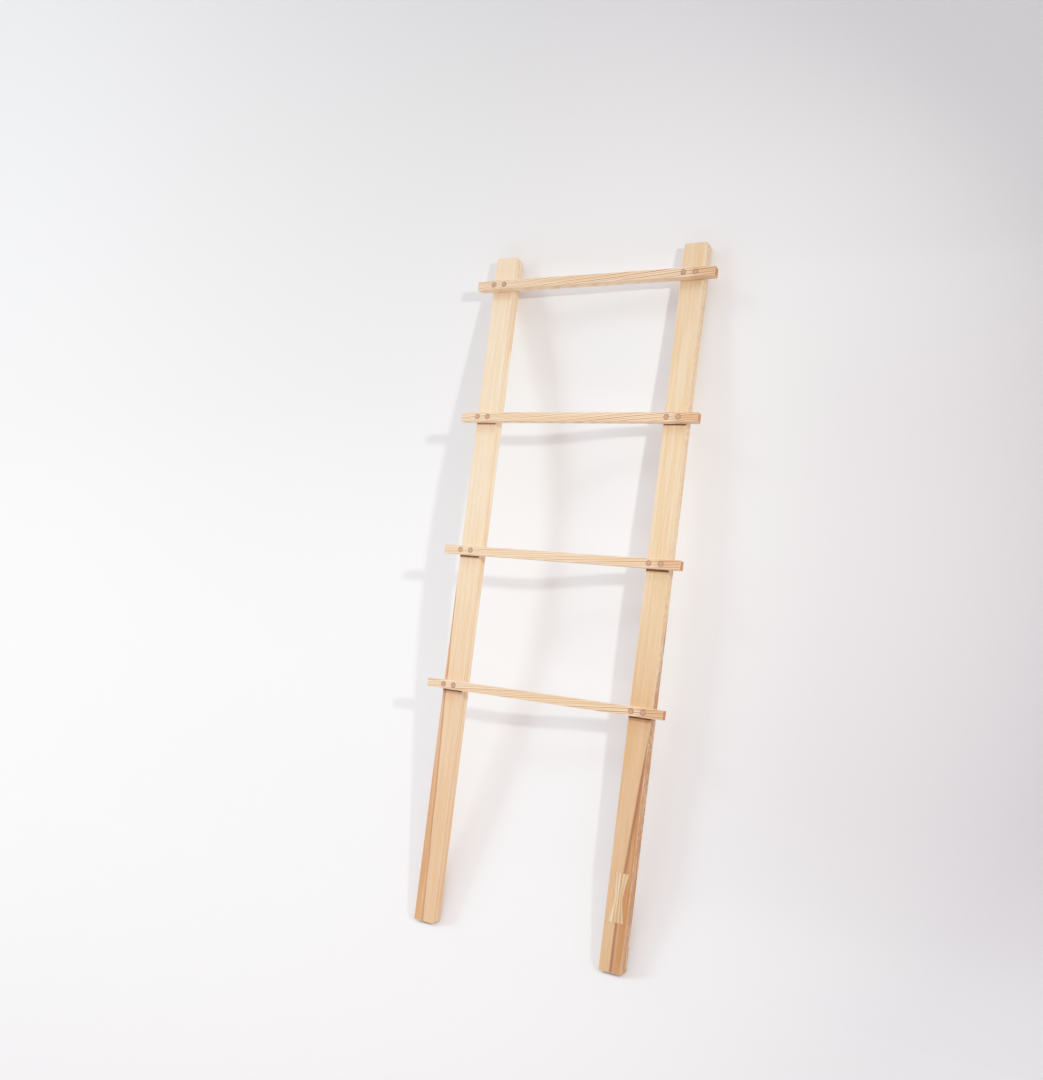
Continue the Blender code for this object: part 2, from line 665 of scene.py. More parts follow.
def growth_rings_group() -> bpy.types.NodeTree:
    """Annual rings of a ring-porous wood, as surfaces inside the log.

    Returns:
        A group whose Early is high in the coarse spring wood, and whose Ring Tone differs from
        one ring to the next.
    """
    maker = GroupMaker(
        "growth_rings",
        {
            "Vector": "Vector", "Pith": "Vector", "Pith Tilt": "Vector", "Ring Width": "Float",
            "Wander": "Float", "Seed": "Vector",
        },
        ("Early", "Ring Tone"),
    )
    n, inputs = maker.nodes, maker.inputs
    middle, ripple_share = (0.5, 0.5, 0.5), (0.11, 0.11, 0.11)
    slow_scale, quick_scale = (7.0, 7.0, 2.3), (55.0, 55.0, 9.0)
    age_scale, age_spread = 90.0, 2.2
    spring_full, summer_from, summer_to = 0.14, 0.22, 0.70
    seeded = n.vector("ADD", inputs["Vector"], inputs["Seed"])
    slow = n.noise(seeded, slow_scale).outputs["Color"]
    quick = n.noise(seeded, quick_scale).outputs["Color"]
    drift = n.vector("SUBTRACT", slow, middle)
    ripple = n.vector("MULTIPLY", n.vector("SUBTRACT", quick, middle), ripple_share)
    bend_by = n.join(inputs["Wander"], inputs["Wander"], 0.0)
    bend = n.vector("MULTIPLY", n.vector("ADD", drift, ripple), bend_by)
    along = n.split(inputs["Vector"])[2]
    lean = n.vector("MULTIPLY", inputs["Pith Tilt"], n.join(along, along, 0.0))
    pith = n.vector("ADD", inputs["Pith"], lean)
    from_pith = n.vector("ADD", n.vector("SUBTRACT", inputs["Vector"], pith), bend)
    radius = n.vector("LENGTH", n.vector("MULTIPLY", from_pith, (1.0, 1.0, 0.0)))
    years = n.noise(n.join(radius, 0.0, 0.0), (age_scale, 0.0, 0.0)).outputs["Fac"]
    even_rings = n.math("DIVIDE", radius, inputs["Ring Width"])
    rings = n.math("ADD", even_rings, n.math("MULTIPLY", years, age_spread))
    phase = n.math("FRACT", rings)
    rise, fall = n.step(phase, 0.0, spring_full), n.step(phase, summer_to, summer_from)
    tone = n.add("TexWhiteNoise", noise_dimensions="1D")
    n.feed(tone.inputs["W"], n.math("FLOOR", rings))
    maker.put("Early", n.math("MULTIPLY", rise, fall))
    maker.put("Ring Tone", tone.outputs["Value"])
    return maker.tree


def fibres_group() -> bpy.types.NodeTree:
    """Long streaks of colour and short open pores, both running along the stick.

    Returns:
        A group whose Streak and Pores run from 0 to 1.
    """
    maker = GroupMaker(
        "fibres",
        {"Vector": "Vector", "Streak Width": "Float", "Streak Length": "Float", "Seed": "Vector"},
        ("Streak", "Pores"),
    )
    n, inputs = maker.nodes, maker.inputs
    streak_detail, streak_roughness, pore_scale = 3.0, 0.55, (1900.0, 1900.0, 150.0)
    streak_from, streak_full, pore_from, pore_full = 0.30, 0.70, 0.58, 0.70
    seeded = n.vector("ADD", inputs["Vector"], inputs["Seed"])
    across = n.math("DIVIDE", 1.0, inputs["Streak Width"])
    along = n.math("DIVIDE", 1.0, inputs["Streak Length"])
    streak_scale = n.join(across, across, along)
    streak = n.noise(seeded, streak_scale, streak_detail, streak_roughness).outputs["Fac"]
    pores = n.noise(seeded, pore_scale).outputs["Fac"]
    maker.put("Streak", n.step(streak, streak_from, streak_full))
    maker.put("Pores", n.step(pores, pore_from, pore_full))
    return maker.tree


def ray_fleck_group() -> bpy.types.NodeTree:
    """The short shiny dashes that a wood's rays leave on a face cut square to the rings.

    Returns:
        A group whose Fleck is 1 on a pale dash and whose Shade is 1 between the dashes.
    """
    maker = GroupMaker(
        "ray_flecks",
        {"Vector": "Vector", "Dash Width": "Float", "Seed": "Vector"},
        ("Fleck", "Shade"),
    )
    n, inputs = maker.nodes, maker.inputs
    width_to_length, dash_detail, patch_scale = 0.22, 2.0, (30.0, 30.0, 11.0)
    fleck_from, fleck_full, shade_from, shade_full = 0.50, 0.62, 0.48, 0.36
    patch_from, patch_full = 0.35, 0.60
    across = n.math("DIVIDE", 1.0, inputs["Dash Width"])
    along = n.math("DIVIDE", width_to_length, inputs["Dash Width"])
    seeded = n.vector("ADD", inputs["Vector"], inputs["Seed"])
    dashes = n.noise(seeded, n.join(across, across, along), dash_detail).outputs["Fac"]
    patches = n.noise(seeded, patch_scale).outputs["Fac"]
    fleck = n.step(dashes, fleck_from, fleck_full)
    in_patch = n.step(patches, patch_from, patch_full)
    maker.put("Fleck", n.math("MULTIPLY", fleck, in_patch))
    maker.put("Shade", n.step(dashes, shade_from, shade_full))
    return maker.tree


def heart_seam_group() -> bpy.types.NodeTree:
    """Where the heartwood shows at one edge of a rail, and the dark seam along its boundary.

    Returns:
        A group whose Heart is 1 inside the heartwood and whose Seam is 1 on the dark line.
    """
    maker = GroupMaker(
        "heart_seam",
        {
            "Vector": "Vector", "Half Size": "Vector", "Side": "Float", "Reach": "Float",
            "Knee": "Float", "Slope": "Float", "Depth Slope": "Float", "Seam Width": "Float",
        },
        ("Heart", "Seam"),
    )
    n, inputs = maker.nodes, maker.inputs
    wobble_by, wobble_scale, wobble_detail = 6 * MM, (12.0, 12.0, 9.0), 2.0
    # Where the seam starts to rise, is full, has faded and starts to fade, as shares of its width.
    seam_shares = (-0.3, 0.3, 1.7, 0.6)
    x, y, z = n.split(inputs["Vector"])
    half_x, half_y, half_z = n.split(inputs["Half Size"])
    from_edge = n.math("SUBTRACT", half_x, n.math("MULTIPLY", x, inputs["Side"]))
    height = n.math("ADD", z, half_z)
    depth = n.math("ADD", y, half_y)
    above_knee = n.math("MAXIMUM", n.math("SUBTRACT", height, inputs["Knee"]), 0.0)
    reach = n.math("SUBTRACT", inputs["Reach"], n.math("MULTIPLY", above_knee, inputs["Slope"]))
    reach = n.math("ADD", reach, n.math("MULTIPLY", depth, inputs["Depth Slope"]))
    slow = n.noise(inputs["Vector"], wobble_scale, wobble_detail).outputs["Fac"]
    wobble = n.math("MULTIPLY", n.math("SUBTRACT", slow, 0.5), wobble_by)
    inside = n.math("SUBTRACT", n.math("ADD", reach, wobble), from_edge)
    width = inputs["Seam Width"]
    rise_from, rise_to, fall_to, fall_from = (
        n.math("MULTIPLY", width, share) for share in seam_shares
    )
    seam_rise = n.step(inside, rise_from, rise_to)
    seam_fall = n.step(inside, fall_to, fall_from)
    maker.put("Heart", n.step(inside, 0.0, width))
    maker.put("Seam", n.math("MULTIPLY", seam_rise, seam_fall))
    return maker.tree


def stick_edges_group() -> bpy.types.NodeTree:
    """The eased edges and the end grain of a square stick.

    Returns:
        A group whose Arris is 1 along the edges, whose End is 1 on both end faces and whose Side
        is 1 on the two faces that look along X.
    """
    maker = GroupMaker(
        "stick_edges",
        {"Vector": "Vector", "Half Size": "Vector", "Arris Width": "Float"},
        ("Arris", "End", "Side"),
    )
    n, inputs = maker.nodes, maker.inputs
    end_from, side_from, full = -0.9 * MM, -0.8 * MM, -0.2 * MM
    beyond = n.vector("SUBTRACT", n.vector("ABSOLUTE", inputs["Vector"]), inputs["Half Size"])
    beyond_x, beyond_y, beyond_z = n.split(beyond)
    start = n.math("MULTIPLY", inputs["Arris Width"], -1.0)
    near = [n.step(part, start, 0.0) for part in (beyond_x, beyond_y, beyond_z)]
    pairs = [n.math("MULTIPLY", near[a], near[b]) for a, b in ((0, 1), (1, 2), (0, 2))]
    maker.put("Arris", n.math("MAXIMUM", n.math("MAXIMUM", pairs[0], pairs[1]), pairs[2]))
    maker.put("End", n.step(beyond_z, end_from, full))
    maker.put("Side", n.step(beyond_x, side_from, full))
    return maker.tree


def painted_rung_shadow_group() -> bpy.types.NodeTree:
    """Painted shadow: a dark line on a rail's front under each of the three lower rungs, where they
    shade it.

    Returns:
        A group whose Line is 1 in the corners and fades downwards. It is wider at a lower rung.
    """
    maker = GroupMaker(
        "painted_rung_shadow",
        {
            "Vector": "Vector", "Half Size": "Vector", "Lowest Corner": "Float", "Spacing": "Float",
            "Line Width": "Float",
        },
        ("Line",),
    )
    n, inputs = maker.nodes, maker.inputs
    widest, narrower_by, soft_share = 1.7, -0.35, 0.6
    start_below, rungs_with_line = -10 * MM, 2.5
    front_from, front_full = 0.8 * MM, 0.3 * MM
    _, y, z = n.split(inputs["Vector"])
    above_lowest = n.math("SUBTRACT", z, inputs["Lowest Corner"])
    past_corner = n.math("FLOORED_MODULO", above_lowest, inputs["Spacing"])
    below = n.math("SUBTRACT", inputs["Spacing"], past_corner)
    rungs_up = n.math("DIVIDE", above_lowest, inputs["Spacing"])
    wider = n.math("MULTIPLY_ADD", rungs_up, narrower_by, widest)
    width = n.math("MULTIPLY", inputs["Line Width"], wider)
    line = n.step(below, width, n.math("MULTIPLY", width, soft_share))
    above_all = n.math("GREATER_THAN", above_lowest, start_below)
    in_range = n.math("MULTIPLY", above_all, n.math("LESS_THAN", rungs_up, rungs_with_line))
    front = n.math("ADD", y, n.split(inputs["Half Size"])[1])
    on_front = n.step(front, front_from, front_full)
    maker.put("Line", n.math("MULTIPLY", line, n.math("MULTIPLY", in_range, on_front)))
    return maker.tree


@dataclass(frozen=True)
class Effects:
    """The node groups that the finishes share."""

    rings: bpy.types.NodeTree = field(default_factory=growth_rings_group)
    fibres: bpy.types.NodeTree = field(default_factory=fibres_group)
    flecks: bpy.types.NodeTree = field(default_factory=ray_fleck_group)
    seam: bpy.types.NodeTree = field(default_factory=heart_seam_group)
    edges: bpy.types.NodeTree = field(default_factory=stick_edges_group)
    corners: bpy.types.NodeTree = field(default_factory=painted_rung_shadow_group)


# ---- Finishes -----------------------------------------------------------------------------------


@dataclass(frozen=True)
class Heartwood:
    """Heartwood along one edge of a rail. Each evenness is what shows where no streak runs."""

    side: Side
    reach: float
    knee: float
    slope: float
    colour: RGB
    seam_colour: RGB
    depth_slope: float = 0.55
    evenness: float = 0.72
    streakiness: float = 0.30
    seam_width: float = 2.6 * MM
    seam_evenness: float = 0.48
    seam_streakiness: float = 0.40


@dataclass(frozen=True)
class Figure:
    """What a wood's material is built on: its nodes, its place and the masks of its figure."""

    nodes: Nodes
    effects: Effects
    place: Socket
    half: tuple[float, ...]
    seed: tuple[float, float, float]
    early: Socket
    ring_tone: Socket
    streak: Socket
    pores: Socket
    arris: Socket
    end: Socket
    side: Socket


@dataclass(frozen=True)
class WoodFinish:
    """An oiled wood, with its length along the piece's own Z.

    The tone turns the wood browner between two heights of the piece. The rougher shares are what
    spring wood, end grain and streaks add to the roughness.
    """

    name: str
    light: RGB
    grain: RGB
    streak: RGB
    end: RGB
    ring_width: float
    pith: tuple[float, float]
    wander: float
    grain_strength: float
    seed: float
    pith_tilt: tuple[float, float] = (0.0, 0.0)
    side_grain: float = 1.0
    ring_contrast: float = 0.55
    streak_width: float = 5.5 * MM
    streak_length: float = 150 * MM
    streak_strength: float = 0.75
    pore_tone: float = 0.45
    pores_in_rings: float = 0.35
    pores_elsewhere: float = 0.05
    end_strength: float = 0.85
    arris_width: float = 1.7 * MM
    # Painted highlight along the eased edges: its colour and its strength.
    arris_highlight_colour: RGB = (1.0, 0.92, 0.78)
    arris_highlight_strength: float = 0.30
    fan: float = 0.0
    fleck_width: float = 2.4 * MM
    fleck_shade: RGB = (0.72, 0.62, 0.54)
    fleck_strength: float = 0.0
    tone: RGB = (1.0, 1.0, 1.0)
    tone_from: float = 0.0
    tone_to: float = -1.0
    # Painted shadow under the lower rungs: its tone and its width.
    rung_shadow_tone: RGB = (0.30, 0.22, 0.16)
    rung_shadow_width: float = 3.4 * MM
    roughness: float = 0.47
    rougher: tuple[float, float, float] = (0.10, 0.12, 0.04)
    ior: float = 1.48
    relief: float = 0.10 * MM
    relief_strength: float = 0.55
    relief_of_pores: float = 0.6
    seed_spread: tuple[float, float, float] = (1.0, 0.37, 1.7)
    heart: Heartwood | None = None

    def build(
        self, effects: Effects, half_size: Vector, corners: tuple[float, float] | None = None
    ) -> bpy.types.Material:
        """Make the material.

        Args:
            effects: The shared node groups.
            half_size: Half the stick's width, depth and length.
            corners: The height of the lowest corner under a rung, and the rungs' spacing.

        Returns:
            The material.
        """
        material, n, shader = new_material(self.name)
        figure = self._figure(n, effects, tuple(half_size))
        colour = self._bare_wood(figure)
        if self.heart:
            colour = self._add_heart(figure, colour)
        if self.fleck_strength:
            colour = self._add_flecks(figure, colour)
        colour = self._add_pores_and_edges(figure, colour)
        if corners:
            colour = self._add_painted_rung_shadows(figure, colour, corners)
        n.feed(shader.inputs["Base Color"], colour)

        rough = self.roughness
        for mask, added in zip((figure.early, figure.end, figure.streak), self.rougher):
            rough = n.math("MULTIPLY_ADD", mask, added, rough)
        n.feed(shader.inputs["Roughness"], rough)
        shader.inputs["IOR"].default_value = self.ior
        rings = n.math("MULTIPLY", figure.early, 1 - self.relief_of_pores)
        dips = n.math("MULTIPLY_ADD", figure.pores, self.relief_of_pores, rings)
        n.sink(shader, dips, self.relief, self.relief_strength)
        return material

    def _figure(self, n: Nodes, effects: Effects, half: tuple[float, ...]) -> Figure:
        """Place the growth rings, the fibres and the edges.

        Args:
            n: The material's nodes.
            effects: The shared node groups.
            half: Half the stick's size.

        Returns:
            The masks that the colours are laid by.
        """
        place = n.add("TexCoord").outputs["Object"]
        seed = tuple(self.seed * share for share in self.seed_spread)
        fibre_place = self._fanned(n, place) if self.fan else place
        rings = n.group(
            effects.rings, Vector=fibre_place, Pith=(*self.pith, 0.0),
            Pith_Tilt=(*self.pith_tilt, 0.0), Ring_Width=self.ring_width, Wander=self.wander,
            Seed=seed,
        ).outputs
        fibres = n.group(
            effects.fibres, Vector=fibre_place, Streak_Width=self.streak_width,
            Streak_Length=self.streak_length, Seed=seed,
        ).outputs
        edges = n.group(
            effects.edges, Vector=place, Half_Size=half, Arris_Width=self.arris_width
        ).outputs
        return Figure(
            n, effects, place, half, seed, early=rings["Early"], ring_tone=rings["Ring Tone"],
            streak=fibres["Streak"], pores=fibres["Pores"], arris=edges["Arris"],
            end=edges["End"], side=edges["Side"],
        )

    def _fanned(self, n: Nodes, place: Socket) -> Socket:
        """Spread the fibres out on both sides of the piece's middle.

        Args:
            n: The material's nodes.
            place: The object coordinates.

        Returns:
            Where the fibres are read.
        """
        x, y, z = n.split(place)
        spread = n.math("MULTIPLY_ADD", n.math("ABSOLUTE", z), self.fan, 1.0)
        return n.join(n.math("DIVIDE", x, spread), y, z)

    def _bare_wood(self, figure: Figure) -> Socket:
        """Colour the streaked wood and its grain lines, browner towards one end.

        Args:
            figure: The wood's masks.

        Returns:
            The colour.
        """
        n = figure.nodes
        contrast = self.ring_contrast
        uneven = n.math("MULTIPLY_ADD", figure.ring_tone, contrast, 1 - contrast)
        line = n.math("MULTIPLY", n.math("MULTIPLY", figure.early, uneven), self.grain_strength)
        if self.side_grain < 1:
            shown = n.math("MULTIPLY_ADD", figure.side, self.side_grain - 1, 1.0)
            line = n.math("MULTIPLY", line, shown)
        streaks = n.math("MULTIPLY", figure.streak, self.streak_strength)
        colour = n.mix(line, n.mix(streaks, self.light, self.streak), self.grain)
        turning = n.step(n.split(figure.place)[2], self.tone_from, self.tone_to)
        return n.mix(turning, colour, n.stain(colour, self.tone))

    def _add_heart(self, figure: Figure, colour: Socket) -> Socket:
        """Lay the heartwood and its dark seam over the wood's colour.

        Args:
            figure: The wood's masks.
            colour: The colour so far.

        Returns:
            The colour with the heartwood.
        """
        n, heart = figure.nodes, self.heart
        seam = n.group(
            figure.effects.seam, Vector=figure.place, Half_Size=figure.half,
            Side=float(heart.side.sign), Reach=heart.reach, Knee=heart.knee, Slope=heart.slope,
            Depth_Slope=heart.depth_slope, Seam_Width=heart.seam_width,
        )
        uneven = n.math("MULTIPLY_ADD", figure.streak, heart.streakiness, heart.evenness)
        inside = n.math("MULTIPLY", seam.outputs["Heart"], uneven)
        colour = n.mix(inside, colour, n.stain(colour, heart.colour))
        broken = n.math(
            "MULTIPLY_ADD", figure.streak, heart.seam_streakiness, heart.seam_evenness
        )
        return n.mix(n.math("MULTIPLY", seam.outputs["Seam"], broken), colour, heart.seam_colour)

    def _add_flecks(self, figure: Figure, colour: Socket) -> Socket:
        """Lay ray flecks over the two side faces.

        Args:
            figure: The wood's masks.
            colour: The colour so far.

        Returns:
            The colour with the flecks.
        """
        n = figure.nodes
        flecks = n.group(
            figure.effects.flecks, Vector=figure.place, Dash_Width=self.fleck_width,
            Seed=figure.seed,
        )
        on_side = n.math("MULTIPLY", figure.side, self.fleck_strength)
        shade = n.math("MULTIPLY", flecks.outputs["Shade"], on_side)
        colour = n.mix(shade, colour, n.stain(colour, self.fleck_shade))
        return n.mix(n.math("MULTIPLY", flecks.outputs["Fleck"], on_side), colour, self.light)

    def _add_pores_and_edges(self, figure: Figure, colour: Socket) -> Socket:
        """Open the pores, colour the end grain, and paint a highlight along the eased edges.

        Args:
            figure: The wood's masks.
            colour: The colour so far.

        Returns:
            The colour with pores and edges.
        """
        n = figure.nodes
        open_pores = n.math(
            "MULTIPLY_ADD", figure.early, self.pores_in_rings, self.pores_elsewhere
        )
        pores = n.math("MULTIPLY", figure.pores, open_pores)
        colour = n.mix(pores, colour, tuple(self.pore_tone * part for part in self.grain))
        end = n.math("MULTIPLY", figure.end, self.end_strength)
        colour = n.mix(end, colour, n.mix(figure.early, self.end, self.grain))
        # Painted highlight on the eased edges.
        return n.mix(
            n.math("MULTIPLY", figure.arris, self.arris_highlight_strength), colour, self.arris_highlight_colour
        )

    def _add_painted_rung_shadows(
        self, figure: Figure, colour: Socket, corners: tuple[float, float]
    ) -> Socket:
        """Paint shadow into the corners under the rungs.

        Args:
            figure: The wood's masks.
            colour: The colour so far.
            corners: The height of the lowest corner, and the rungs' spacing.

        Returns:
            The colour with the painted shadow lines.
        """
        lowest, spacing = corners
        line = figure.nodes.group(
            figure.effects.corners, Vector=figure.place, Half_Size=figure.half,
            Lowest_Corner=lowest, Spacing=spacing, Line_Width=self.rung_shadow_width,
        )
        # Painted shadow: the colour is darkened where the rungs shade the rail.
        shadowed_colour = figure.nodes.stain(colour, self.rung_shadow_tone)
        return figure.nodes.mix(line.outputs["Line"], colour, shadowed_colour)


@dataclass(frozen=True)
class PegFinish:
    """Walnut-brown end grain, darker at the rim where the glue has soaked in."""

    name: str
    light: RGB
    grain: RGB
    rim: RGB
    heart: RGB
    seed: float
    heart_at: tuple[float, float] = (0.0, 0.0)
    heart_size: tuple[float, float] = (0.75, 0.10)
    rim_size: tuple[float, float] = (0.60, 1.02)
    ring_width: float = 1.1 * MM
    wander: float = 2 * MM
    streak_width: float = 2 * MM
    streak_length: float = 40 * MM
    ring_strength: float = 0.45
    heart_strength: float = 0.55
    pore_strength: float = 0.45
    glue_evenness: float = 0.25
    roughness: float = 0.50
    rougher: float = 0.12
    relief: float = 0.12 * MM
    relief_strength: float = 0.6
    pith_reach: float = 4.0
    seed_spread: tuple[float, float, float] = (1.0, 0.5, 0.1)

    def build(self, effects: Effects, radius: float) -> bpy.types.Material:
        """Make the material.

        Args:
            effects: The shared node groups.
            radius: The peg's radius.

        Returns:
            The material.
        """
        material, n, shader = new_material(self.name)
        place = n.add("TexCoord").outputs["Object"]
        seed = tuple(self.seed * share for share in self.seed_spread)
        pith = (*(self.pith_reach * part for part in self.heart_at), 0.0)
        early = n.group(
            effects.rings, Vector=place, Pith=pith, Pith_Tilt=(0.0, 0.0, 0.0),
            Ring_Width=self.ring_width, Wander=self.wander, Seed=seed,
        ).outputs["Early"]
        fibres = n.group(
            effects.fibres, Vector=place, Streak_Width=self.streak_width,
            Streak_Length=self.streak_length, Seed=seed,
        ).outputs
        x, y, _ = n.split(place)
        on_face = n.join(x, y, 0.0)
        rim_from, rim_to = (share * radius for share in self.rim_size)
        rim = n.step(n.vector("LENGTH", on_face), rim_from, rim_to)
        from_heart = n.vector("LENGTH", n.vector("SUBTRACT", on_face, (*self.heart_at, 0.0)))
        heart_edge, heart_full = (share * radius for share in self.heart_size)
        heart = n.step(from_heart, heart_edge, heart_full)

        colour = n.mix(n.math("MULTIPLY", early, self.ring_strength), self.light, self.grain)
        colour = n.mix(n.math("MULTIPLY", heart, self.heart_strength), colour, self.heart)
        pores = n.math("MULTIPLY", fibres["Pores"], self.pore_strength)
        colour = n.mix(pores, colour, self.rim)
        even = self.glue_evenness
        glue = n.math("MULTIPLY", rim, n.math("MULTIPLY_ADD", fibres["Streak"], 1 - even, even))
        n.feed(shader.inputs["Base Color"], n.mix(glue, colour, self.rim))
        rough = n.math("MULTIPLY_ADD", early, self.rougher, self.roughness)
        n.feed(shader.inputs["Roughness"], rough)
        n.sink(shader, fibres["Pores"], self.relief, self.relief_strength)
        return material


RAIL_ASH = WoodFinish(
    name="rail_ash",
    light=srgb(245, 221, 193),
    grain=srgb(228, 182, 132),
    streak=srgb(237, 198, 150),
    end=srgb(150, 98, 62),
    ring_width=2.2 * MM,
    pith=(0.09, 0.01),
    wander=9 * MM,
    grain_strength=0.70,
    seed=3.0,
    tone=(0.82, 0.67, 0.565),
    tone_from=0.55,
    tone_to=-0.70,
)
LEFT_RAIL_ASH = replace(
    RAIL_ASH,
    name="left_rail_ash",
    heart=Heartwood(
        side=Side.LEFT, reach=24.5 * MM, knee=0.0, slope=0.030, colour=(0.80, 0.66, 0.52),
        seam_colour=srgb(162, 108, 76),
    ),
)
RIGHT_RAIL_ASH = replace(
    RAIL_ASH,
    name="right_rail_ash",
    light=srgb(237, 208, 174),
    grain=srgb(212, 164, 114),
    streak=srgb(223, 180, 130),
    pith=(-0.11, 0.02),
    seed=5.0,
    fleck_strength=0.8,
    tone=(0.84, 0.72, 0.62),
    tone_from=0.25,
    tone_to=-0.35,
    heart=Heartwood(
        side=Side.RIGHT, reach=26.5 * MM, knee=0.13, slope=0.068, colour=(0.74, 0.58, 0.43),
        seam_colour=srgb(140, 92, 68), seam_width=5.2 * MM,
    ),
)
RUNG_ASH = WoodFinish(
    name="rung_ash",
    light=srgb(241, 212, 180),
    grain=srgb(180, 118, 68),
    streak=srgb(230, 190, 146),
    end=srgb(180, 112, 66),
    ring_width=3.4 * MM,
    pith=(0.045, 0.018),
    pith_tilt=(-0.09, 0.02),
    side_grain=0.25,
    wander=17 * MM,
    grain_strength=1.15,
    seed=8.0,
    tone=(0.84, 0.72, 0.62),
    tone_from=0.215,
    tone_to=0.245,
)
KEY_ASH = WoodFinish(
    name="key_ash",
    light=srgb(238, 208, 168),
    grain=srgb(178, 128, 84),
    streak=srgb(206, 164, 118),
    end=srgb(190, 140, 92),
    ring_width=4.6 * MM,
    pith=(0.14, 0.0),
    wander=3 * MM,
    grain_strength=0.80,
    seed=15.0,
    streak_strength=1.0,
    fan=16.0,
)
PEG_WALNUT = PegFinish(
    name="peg_walnut",
    light=srgb(182, 138, 112),
    grain=srgb(150, 104, 80),
    rim=srgb(112, 74, 54),
    heart=srgb(208, 158, 112),
    seed=2.0,
)


# ---- The ladder's pieces ------------------------------------------------------------------------


@dataclass
class Pegs:
    """The round pegs of every joint, and the holes that they stand in."""

    ladder: LadderFrame
    effects: Effects
    fit: float = 0.06 * MM
    chamfer: float = 0.25 * MM
    steps: int = 48
    heart_offset: float = 1.6 * MM
    turn_per_peg: float = 2.4
    seed_step: float = 1.7

    @staticmethod
    def node(number: int, side: Side, place: PegPlace) -> str:
        """The name of one peg's node."""
        return f"rung_{number}_peg_{side.value}_{place.value}"

    def radius(self, node: str) -> float:
        """A peg's radius, with the CAD's working gap closed to a glue line."""
        return self.ladder.box(node).size.x / 2 + GAP_CLOSED

    def drills(self, nodes: list[str]) -> list[bpy.types.Object]:
        """Make the cutters for some pegs' holes.

        Args:
            nodes: The pegs' nodes.

        Returns:
            One cutter for each peg, in its place.
        """
        cutters = []
        for node in nodes:
            box = self.ladder.box(node)
            radius = self.radius(node) + self.fit
            floor, mouth = -box.size.y / 2 - GAP_CLOSED, box.size.y / 2 + OVERCUT
            profile = [(0, floor), (radius, floor), (radius, mouth), (0, mouth)]
            cutter = turned("drill_" + node, profile, self.steps)
            self.ladder.place(cutter, box.centre, FACE_FRONT)
            cutters.append(cutter)
        return cutters

    def build(self) -> None:
        """Make and place all the pegs."""
        for index, joint in enumerate(product(RUNG_NUMBERS, Side, PegPlace)):
            self._peg(self.node(*joint), index)

    def _peg(self, node: str, index: int) -> None:
        """Make one peg, with its own piece of end grain.

        Args:
            node: The peg's node.
            index: Its place in the order of making.
        """
        box = self.ladder.box(node)
        half = box.size.y / 2
        radius = self.radius(node)
        edge = self.chamfer
        profile = [
            (0, -half), (radius - edge, -half), (radius, -half + edge),
            (radius, half - edge), (radius - edge, half), (0.5 * radius, half), (0, half),
        ]
        peg = turned("peg_" + node.removesuffix("_peg"), profile, self.steps)
        self.ladder.place(peg, box.centre, FACE_FRONT)
        angle = index * self.turn_per_peg
        offset = self.heart_offset
        finish = replace(
            PEG_WALNUT, name=f"peg_walnut_{index + 1}",
            seed=PEG_WALNUT.seed + self.seed_step * index,
            heart_at=(offset * math.cos(angle), offset * math.sin(angle)),
        )
        finish_piece(peg, finish.build(self.effects, radius), "peg_walnut", node)


@dataclass
class ButterflyKey:
    """The bow-tie key let into the front of the right rail."""

    ladder: LadderFrame
    effects: Effects
    node: str = "butterfly_key"
    fit: float = 0.12 * MM
    sunk: float = 0.05 * MM
    edge: float = 0.25 * MM

    def outline(self, margin: float) -> list[tuple[float, float]]:
        """The key's outline, widened all round.

        Args:
            margin: How much wider than the CAD node.

        Returns:
            Six points (x, z), in order.
        """
        size = self.ladder.box(self.node).size
        end, top = size.x / 2 + margin, size.z / 2 + margin
        waist = self.ladder.waist(self.node) / 2 + margin
        return [(-end, -top), (end, -top), (waist, 0), (end, top), (-end, top), (-waist, 0)]

    def pocket(self) -> bpy.types.Object:
        """Make the cutter for the pocket in the rail.

        Returns:
            The cutter, in its place.
        """
        box = self.ladder.box(self.node)
        front, back = -box.size.y / 2 - OVERCUT, box.size.y / 2 + GAP_CLOSED
        cutter = prism("key_pocket", self.outline(GAP_CLOSED + self.fit), front, back)
        self.ladder.place(cutter, box.centre, STAND_UP)
        return cutter

    def build(self) -> None:
        """Make and place the key."""
        box = self.ladder.box(self.node)
        front, back = -box.size.y / 2 + self.sunk, box.size.y / 2
        key = prism("butterfly_key_inlay", self.outline(GAP_CLOSED), front, back)
        self.ladder.place(key, box.centre, STAND_UP)
        bevel = key.modifiers.new("eased_edges", "BEVEL")
        bevel.width = self.edge
        bevel.segments = 2
        finish_piece(key, KEY_ASH.build(self.effects, box.size), "key_ash", self.node)


@dataclass
class Rail:
    """One upright, with its heartwood edge and the holes for its pegs."""

    ladder: LadderFrame
    effects: Effects
    pegs: Pegs
    side: Side
    finish: WoodFinish

    def build(self, extra_cutters: list[bpy.types.Object]) -> None:
        """Make and place the rail.

        Args:
            extra_cutters: Shapes to cut from it besides the peg holes.
        """
        node = self.side.value + "_rail"
        box = self.ladder.box(node)
        planed = box.size - Vector((0.0, 2 * PLANED_OFF, 2 * PLANED_OFF))
        rail = Stick(node + "_planed", planed.x, planed.y, planed.z).build()
        self.ladder.place(rail, box.centre, STAND_UP)
        nodes = [Pegs.node(*joint) for joint in product(RUNG_NUMBERS, [self.side], PegPlace)]
        carve(rail, self.pegs.drills(nodes) + extra_cutters)
        # The rail's colour carries a painted shadow under each lower rung.
        material = self.finish.build(self.effects, planed / 2, self._corners(box))
        finish_piece(rail, material, "rail_ash", node)

    def _corners(self, box: LocalBox) -> tuple[float, float]:
        """Find the corners under the rungs.

        Args:
            box: The rail's box.

        Returns:
            The height of the lowest corner above the rail's middle, and the rungs' spacing.
        """
        undersides = [self.ladder.box(f"rung_{number}").low.z for number in RUNG_NUMBERS]
        *_, second_lowest, lowest = undersides
        return lowest - box.centre.z, second_lowest - lowest


